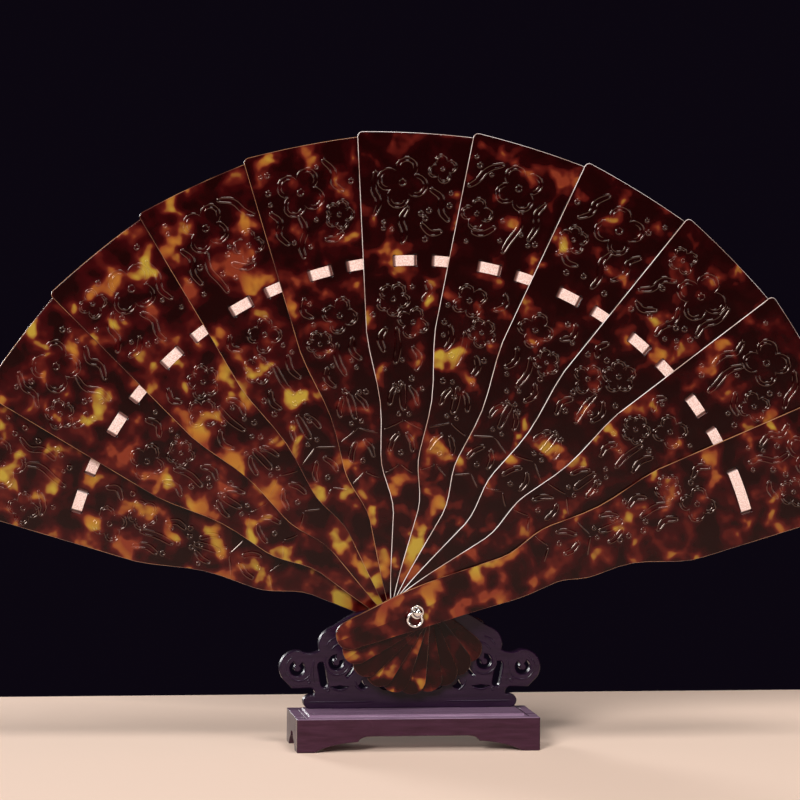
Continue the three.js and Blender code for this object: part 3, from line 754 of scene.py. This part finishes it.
class FanRibbonSettings(bpy.types.PropertyGroup):
    """Satin ribbon woven through the blades."""
    color: color_setting("Colour", "Colour of the satin", (0.7, 0.46, 0.39))
    shade: color_setting("Shade", "Colour between the threads", (0.52, 0.3, 0.24))
    gleam: color_setting("Gleam", "Colour of the brightest threads", (0.9, 0.74, 0.7))
    # Painted shade on the ribbon within the slits
    inner: color_setting("Inside", "Colour within the slits", (0.12, 0.03, 0.02))
    grain_size: length_setting("Grain size", "Size of the uneven threads", 0.0005, 0.0001, 0.005)
    width: length_setting("Width", "Width of the ribbon", 0.0045, 0.002, 0.01)
    thickness: length_setting("Thickness", "Thickness of the ribbon", 0.00015, 0.00005, 0.0003)
    radius: length_setting("Radius", "From the rivet to the ribbon's middle", 0.15063, 0.1, 0.2)
    step_angle: number_setting("Step", "Turn of one step of the strip, in degrees", 1.2, 0.3, 3)


class FanRivetSettings(bpy.types.PropertyGroup):
    """Metal of the rivet and its ring."""
    color: color_setting("Colour", "Colour of the bright metal", (0.9, 0.89, 0.87))
    shade: color_setting("Shade", "Colour in the scuffs", (0.72, 0.71, 0.7))
    roughness: factor_setting("Roughness", "Roughness of the metal", 0.16)


class FanStandSettings(bpy.types.PropertyGroup):
    """Lacquered wood of the stand."""
    color: color_setting("Boards", "Colour of the boards", (0.024, 0.004, 0.012))
    light: color_setting("Boards, grain", "Colour of their lighter grain", (0.046, 0.012, 0.028))
    # The top's lighter lilac colours are a painted sheen
    top_sheen: color_setting("Top", "Colour of the top panel", (0.17, 0.095, 0.155))
    top_sheen_grain: color_setting("Top, grain", "Colour of its lighter grain", (0.25, 0.15, 0.225))
    # The scroll panel's darker colours are painted shade from the fan in front of it
    panel_shade: color_setting("Scroll panel", "Colour of the scroll panel", (0.01, 0.0025, 0.012))
    panel_shade_grain: color_setting("Scroll panel, grain", "Colour of its lighter grain",
                               (0.019, 0.006, 0.021))
    roughness: factor_setting("Roughness", "Middle roughness of the lacquer", 0.28, 0.1, 0.9)
    edge_radius: length_setting("Edge radius", "Rounding of the boards' edges", 0.0005, 0.0001, 0.002)
    panel_edge_radius: length_setting("Panel edge radius", "Rounding of the panel's edges",
                                      0.0003, 0.00005, 0.001)


class FanStageSettings(bpy.types.PropertyGroup):
    """Camera, floor and lamps."""
    azimuth: angle_setting("Azimuth", "Camera's turn to the left of the front", 8.5)
    elevation: angle_setting("Elevation", "Camera's height above the horizon", 2.6)
    roll: angle_setting("Roll", "Camera's turn about its view", 0.6)
    distance: length_setting("Distance", "From the camera to its target", 1.461, 0.5, 5)
    target: FloatVectorProperty(name="Target", description="Point at the middle of the view",
                                default=(-0.007, 0.0, 0.1494), subtype="TRANSLATION", size=3)
    lens: number_setting("Lens", "Focal length in millimetres", 153.0, 20, 300)
    floor: color_setting("Floor", "Colour of the floor", (0.92, 0.68, 0.54))
    floor_size: length_setting("Floor size", "Side of the floor", 2.4, 1, 20)
    floor_behind: length_setting("Floor behind", "From the fan to the floor's far edge", 0.17, 0.1, 10)
    backdrop: color_setting("Backdrop", "Colour and light of the studio", (0.0035, 0.0022, 0.0052))


SETTINGS = (FanShellSettings, FanCarvingSettings, FanRibbonSettings, FanRivetSettings,
            FanStandSettings, FanStageSettings)


EDGE_FACING = 0.93  # a face that looks less to the front or back than this is an edge
RIVET_REACH, RIVET_SHARE = 6 * MM, 0.3
SLIT_REACH, SLIT_TURN = 4 * MM, math.radians(5)  # from the ribbon's middle line, from the blade's


class FAN_OT_blades(bpy.types.Operator):
    """Make the shell blades with rounded, polished edges"""
    bl_idname = "fan.make_blades"
    bl_label = "Blades"

    def execute(self, context):
        settings = context.scene.fan_shell
        # A lit copy of the edge colour with painted highlight for the later blades, a shaded copy for
        # the first blades and the guards
        warm = edge_material(settings, "shell_edge_warm", settings.shaded_edge, settings.shaded_edge_light)
        pale = edge_material(settings, "shell_edge_pale", settings.edge_highlight_dim, settings.edge_highlight)
        for index, blade in enumerate(BLADES):
            piece = body_copy(blade, blade + "_shell")
            soften_edges(piece, settings.edge_radius, 3, share_at=self.share_at, clamp=False)
            is_lit_edge = index >= settings.lit_edges_from and blade not in GUARDS
            dress(piece, shell_material(settings, blade), pale if is_lit_edge else warm)
            # Edges by the slits keep the shell's colour, without the painted highlight
            for face in piece.data.polygons:
                is_edge = abs(face.normal.y) < EDGE_FACING and not self.at_slit(blade, face.center)
                face.material_index = 1 if is_edge else 0
            finish_piece(piece, body_of(blade), "shell", blade)
        return {"FINISHED"}

    def share_at(self, place):
        """Edges by the rivet are rounded less."""
        return RIVET_SHARE if math.hypot(place.x, place.z - PIVOT_HEIGHT) < RIVET_REACH else 1.0

    def at_slit(self, blade, place):
        """Whether a place on the blade is by one of the ribbon's slits."""
        radius = bpy.context.scene.fan_ribbon.radius
        by_ribbon = abs(math.hypot(place.x, place.z - PIVOT_HEIGHT) - radius) < SLIT_REACH
        turn = math.atan2(place.x, place.z - PIVOT_HEIGHT) - tilt_of(blade)
        return by_ribbon and abs(turn) < SLIT_TURN


class FAN_OT_carving(bpy.types.Operator):
    """Carve the flowers, leaves and borders of the blades"""
    bl_idname = "fan.carve_blades"
    bl_label = "Carving"

    def execute(self, context):
        settings = context.scene.fan_carving
        for index, blade in enumerate(BLADES):
            piece = line_piece(
                blade + "_carving", blade_strokes(index),
                lambda across, up, blade=blade: on_blade(blade, across, up),
                settings.line_radius, settings.line_height, front_of(blade),
            )
            dress(piece, shell_material(context.scene.fan_shell, blade, carved=True))
            finish_piece(piece, body_of(blade), "shell")
        return {"FINISHED"}


# Places on the ribbon's route, in degrees to the right of a blade's middle. The first line holds the
# slits, the last one how far from a slit's middle the ribbon bends and how far its shade reaches.
ENTRY, DIVE, RISE, GUARD_DIVE = -3.8, -0.45, 2.65, 3.4
LEAD_IN, RUN_OUT, GLUED, KNEE = -7.9, 7.6, 5.6, -5.3
BLADE_GAP = 0.6 * MM
SLIT_OUTER, SLIT_INNER, SLIT_SHADE, SLIT_END = 0.23, 0.04, 0.28, 0.33


def ribbon_route(blade, thickness):
    """Bends of a blade's stretch, each as its angle and its depth behind the blade's front face."""
    behind = (GUARD_THICKNESS if blade in GUARDS else STICK_THICKNESS) + thickness / 2
    before = -thickness / 2

    def dive(angle):
        return [(angle - SLIT_OUTER, before), (angle - SLIT_INNER, behind),
                (angle + SLIT_SHADE, behind), (angle + SLIT_END, behind)]

    def rise(angle):
        return [(angle - SLIT_END, behind), (angle - SLIT_SHADE, behind),
                (angle + SLIT_INNER, behind), (angle + SLIT_OUTER, before)]

    if blade == "front_guard":
        return [(LEAD_IN, behind), *rise(ENTRY), *dive(GUARD_DIVE), (GLUED, behind)]
    weave = [*rise(ENTRY), *dive(DIVE), *rise(RISE), (RUN_OUT, before)]
    if blade == "rear_guard":
        return [(-GLUED, behind), *weave]
    if blade == "stick_1":
        over_guard = front_of("rear_guard") - BLADE_GAP + thickness / 2 - front_of("stick_1")
        return [(LEAD_IN, over_guard), (KNEE, behind), *weave]
    return [(LEAD_IN, behind), *weave]


class FAN_OT_ribbon(bpy.types.Operator):
    """Weave the satin ribbon through the blades' slits"""
    bl_idname = "fan.weave_ribbon"
    bl_label = "Ribbon"

    def execute(self, context):
        settings = context.scene.fan_ribbon
        material = satin_material(settings)
        stretches = {}
        for blade in BLADES:
            kind = blade if blade in (*GUARDS, "stick_1") else "between"
            if kind not in stretches:
                stretches[kind] = self.stretch(settings, blade)
            piece = stretches[kind].copy()
            piece.data = stretches[kind].data.copy()
            piece.name = piece.data.name = blade + "_ribbon_satin"
            context.scene.collection.objects.link(piece)
            piece.matrix_world = (Matrix.Translation((0, front_of(blade), PIVOT_HEIGHT))
                                  @ Matrix.Rotation(tilt_of(blade), 4, "Y"))
            select_only(piece)
            apply_place()
            dress(piece, material)
            finish_piece(piece, body_of(blade), "satin_ribbon", "ribbon_" + blade)
        for model in stretches.values():
            bpy.data.objects.remove(model)
        return {"FINISHED"}

    def stretch(self, settings, blade):
        """One blade's stretch, upright about a rivet at the origin: a strip extruded bend by bend."""
        route = ribbon_route(blade, settings.thickness)
        angle, depth = route[0]
        select_none()
        bpy.ops.mesh.primitive_plane_add(size=settings.width, rotation=(math.pi / 2, 0, 0),
                                         location=(settings.width / 2, depth, settings.radius))
        piece = bpy.context.object
        apply_place()
        edit_selected(piece, lambda place: place.x > settings.width / 2)
        bpy.ops.mesh.delete(type="VERT")
        select_mesh()
        self.turn(angle)
        for next_angle, next_depth in route[1:]:
            steps = max(1, round(abs(next_angle - angle) / settings.step_angle))
            for _ in range(steps):
                bpy.ops.mesh.extrude_edges_move(
                    TRANSFORM_OT_translate={"value": (0, (next_depth - depth) / steps, 0)})
                self.turn((next_angle - angle) / steps)
            angle, depth = next_angle, next_depth
        select_mesh()
        bpy.ops.mesh.normals_make_consistent(inside=False)
        mode("OBJECT")
        self.mark(piece, settings)
        bends = piece.modifiers.new("soft bends", "BEVEL")
        bends.width = settings.thickness
        bends.segments = 4
        bends.limit_method = "ANGLE"
        bends.angle_limit = math.radians(20)
        wall = piece.modifiers.new("thickness", "SOLIDIFY")
        wall.thickness = settings.thickness
        wall.offset = 0
        apply_modifiers(piece)
        bpy.ops.object.shade_smooth_by_angle(angle=math.radians(60))
        return piece

    def turn(self, degrees):
        """Turns what is selected about the rivet, to the right."""
        bpy.ops.transform.rotate(value=-math.radians(degrees), orient_axis="Y",
                                 center_override=(0, 0, 0))

    def mark(self, piece, settings):
        """Thread coordinates, and where the ribbon lies within a slit, to get painted shade there."""
        mesh = piece.data
        inside = mesh.attributes.new("inside", "FLOAT", "POINT")
        for vertex in mesh.vertices:
            angle = math.degrees(math.atan2(vertex.co.x, vertex.co.z))
            near = min(abs(angle - slit) for slit in (ENTRY, DIVE, RISE, GUARD_DIVE))
            # Marks the painted shade of the ribbon behind a slit
            shaded = near < (SLIT_SHADE + SLIT_END) / 2 and vertex.co.y > 0
            inside.data[vertex.index].value = 1 if shaded else 0
        threads = mesh.uv_layers.new(name="threads")
        for corner, loop in zip(threads.data, mesh.loops):
            place = mesh.vertices[loop.vertex_index].co
            corner.uv = (math.atan2(place.x, place.z) * settings.radius / settings.width,
                         (math.hypot(place.x, place.z) - settings.radius) / settings.width)


METAL_EDGE_RADIUS = 0.08 * MM
WIRE_SIDES, RING_STEPS = 20, 64


class FAN_OT_rivet(bpy.types.Operator):
    """Make the rivet with its washers and its loose ring"""
    bl_idname = "fan.make_rivet"
    bl_label = "Rivet and ring"

    def execute(self, context):
        settings = context.scene.fan_rivet
        material = metal_material(settings)
        for node in ("rivet_pin", "rivet_front_washer", "rivet_rear_washer"):
            piece = body_copy(node, node + "_metal")
            soften_edges(piece, METAL_EDGE_RADIUS, sharper_than=50)
            dress(piece, material)
            finish_piece(piece, "fan", "polished_metal", node)
        low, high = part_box("rivet_ring")
        wire = (high.y - low.y) / 2
        middle = (low + high) / 2
        select_none()
        bpy.ops.mesh.primitive_circle_add(vertices=WIRE_SIDES, radius=wire,
                                          location=(high.x - wire, middle.y, middle.z))
        piece = bpy.context.object
        piece.name = piece.data.name = "rivet_ring_metal"
        apply_place()
        mode("EDIT")
        select_mesh()
        bpy.ops.mesh.spin(steps=RING_STEPS, angle=math.tau, center=middle, axis=(0, 1, 0))
        select_mesh()
        bpy.ops.mesh.remove_doubles(threshold=0.01 * MM)
        bpy.ops.mesh.normals_make_consistent(inside=False)
        mode("OBJECT")
        bpy.ops.object.shade_smooth()
        dress(piece, material)
        finish_piece(piece, "ring", "polished_metal", "rivet_ring")
        return {"FINISHED"}


SHEEN_FACING = 0.6  # a face at the boards' top that looks up more than this gets the top's lighter colour, a painted sheen


class FAN_OT_stand(bpy.types.Operator):
    """Make the stand's boards and its scroll panel"""
    bl_idname = "fan.make_stand"
    bl_label = "Stand"

    def execute(self, context):
        settings = context.scene.fan_stand
        carving = context.scene.fan_carving
        cross = lacquer_material(settings, "lacquer_cross", settings.color, settings.light, ALONG_Y)
        # The top panel and the tops of the boards are drawn lighter, a painted sheen
        top = lacquer_material(settings, "lacquer_top", settings.top_sheen, settings.top_sheen_grain)
        long = lacquer_material(settings, "lacquer_long", settings.color, settings.light)
        # The scroll panel and its carving are drawn darker than the boards, painted shade from the fan
        dark = lacquer_material(settings, "lacquer_dark", settings.panel_shade, settings.panel_shade_grain)
        base_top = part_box("base_front_apron")[1].z
        boards = dict(zip(BASE_BOARDS, (long, long, cross, cross)))
        for node in (*BASE_BOARDS, "base_top_panel"):
            piece = body_copy(node, node + "_lacquer")
            soften_edges(piece, settings.edge_radius, 3, sharper_than=30, share_at=self.share_at)
            dress(piece, boards.get(node, top), top)
            for face in piece.data.polygons:
                gets_sheen = face.normal.z > SHEEN_FACING and face.center.z > base_top - MM
                face.material_index = 1 if gets_sheen else 0
            finish_piece(piece, "stand", "lacquered_wood", node)
        panel = body_copy("scroll_panel", "scroll_panel_lacquer")
        soften_edges(panel, settings.panel_edge_radius, sharper_than=30)
        dress(panel, dark)
        finish_piece(panel, "stand", "lacquered_wood", "scroll_panel")
        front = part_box("scroll_panel")[0].y
        lines = line_piece("scroll_panel_carving", panel_strokes(), lambda x, z: (x, z),
                           carving.line_radius, carving.line_height, front)
        dress(lines, dark)
        finish_piece(lines, "stand", "lacquered_wood")
        return {"FINISHED"}

    def share_at(self, place):
        """The mortises, hidden under the panel, stay sharp."""
        low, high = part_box("scroll_panel")
        under_panel = low.y - MM / 2 < place.y < high.y + MM / 2
        return 0.0 if under_panel and abs(place.x) > MM else 1.0


# Lamps as name, place, size and power
LAMPS = (
    ("key lamp", (-2.08, -4.0, 2.23), 1.28, 246),
    ("fill lamp", (2.2, -2.4, 0.85), 0.8, 12),
    ("top lamp", (0.4, -1.0, 2.45), 0.9, 28),
    ("back lamp", (-1.3, 2.8, 0.65), 0.9, 52),
)
LAMP_TARGET = Vector((0, 0, 0.15))
FLOOR_ROUGHNESS = 0.8


class FAN_OT_stage(bpy.types.Operator):
    """Set the floor, the light and the camera"""
    bl_idname = "fan.set_stage"
    bl_label = "Stage"

    def execute(self, context):
        settings = context.scene.fan_stage
        select_none()
        bpy.ops.mesh.primitive_plane_add(
            size=settings.floor_size, location=(0, settings.floor_behind - settings.floor_size / 2, 0))
        floor = bpy.context.object
        floor.name = "floor"
        apply_place()
        dress(floor, plain_material("floor", settings.floor, FLOOR_ROUGHNESS))
        self.world(context, settings)
        for lamp in LAMPS:
            self.lamp(*lamp)
        self.camera(context, settings)
        context.scene.view_settings.view_transform = "Standard"
        return {"FINISHED"}

    def world(self, context, settings):
        """A dark studio."""
        world = bpy.data.worlds.new("studio")
        context.scene.world = world
        world.use_nodes = True
        set_inputs(world.node_tree.nodes["Background"], {"Color": (*settings.backdrop, 1)})

    def lamp(self, name, place, size, power):
        """A square lamp aimed at the fan."""
        bpy.ops.object.light_add(type="AREA", location=place)
        lamp = bpy.context.object
        lamp.name = name
        lamp.data.size = size
        lamp.data.energy = power
        aim = LAMP_TARGET - Vector(place)
        lamp.rotation_euler = aim.to_track_quat("-Z", "Y").to_euler()

    def camera(self, context, settings):
        """A camera at the photograph's angle, aimed at the target."""
        turn, rise, roll = settings.azimuth, settings.elevation, settings.roll
        ahead = Vector((math.sin(turn) * math.cos(rise), math.cos(turn) * math.cos(rise),
                        -math.sin(rise)))
        right = Vector((math.cos(turn), -math.sin(turn), 0))
        up = right.cross(ahead)
        turned_right = right * math.cos(roll) + up * math.sin(roll)
        turned_up = up * math.cos(roll) - right * math.sin(roll)
        bpy.ops.object.camera_add()
        camera = bpy.context.object
        camera.name = "camera"
        camera.data.lens = settings.lens
        camera.data.sensor_width = 36
        camera.data.clip_end = 50
        matrix = Matrix((turned_right, turned_up, -ahead)).transposed().to_4x4()
        matrix.translation = Vector(settings.target) - ahead * settings.distance
        camera.matrix_world = matrix
        context.scene.camera = camera


OPERATORS = (FAN_OT_stage, FAN_OT_ribbon, FAN_OT_blades, FAN_OT_carving, FAN_OT_rivet, FAN_OT_stand)


class FAN_PT_sidebar(bpy.types.Panel):
    """The fan's pieces and their settings"""
    bl_idname = "FAN_PT_sidebar"
    bl_label = "Folding fan"
    bl_space_type = "VIEW_3D"
    bl_region_type = "UI"
    bl_category = "Fan"

    def draw(self, context):
        layout = self.layout
        for operator in OPERATORS:
            layout.operator(operator.bl_idname)
        for settings in SETTINGS:
            box = layout.box()
            box.label(text=settings.__doc__)
            group = getattr(context.scene, scene_name(settings))
            for key in settings.__annotations__:
                box.prop(group, key)


def scene_name(settings):
    return "fan_" + settings.__name__.removeprefix("Fan").removesuffix("Settings").lower()


def register():
    for kind in (*SETTINGS, *OPERATORS, FAN_PT_sidebar):
        bpy.utils.register_class(kind)
    for settings in SETTINGS:
        setattr(bpy.types.Scene, scene_name(settings), PointerProperty(type=settings))


def unregister():
    for settings in SETTINGS:
        delattr(bpy.types.Scene, scene_name(settings))
    for kind in reversed((*SETTINGS, *OPERATORS, FAN_PT_sidebar)):
        bpy.utils.unregister_class(kind)


def main():
    register()
    bpy.ops.fan.set_stage()
    bpy.ops.fan.weave_ribbon()
    bpy.ops.fan.make_blades()
    bpy.ops.fan.carve_blades()
    bpy.ops.fan.make_rivet()
    bpy.ops.fan.make_stand()


if __name__ == "__main__":
    main()
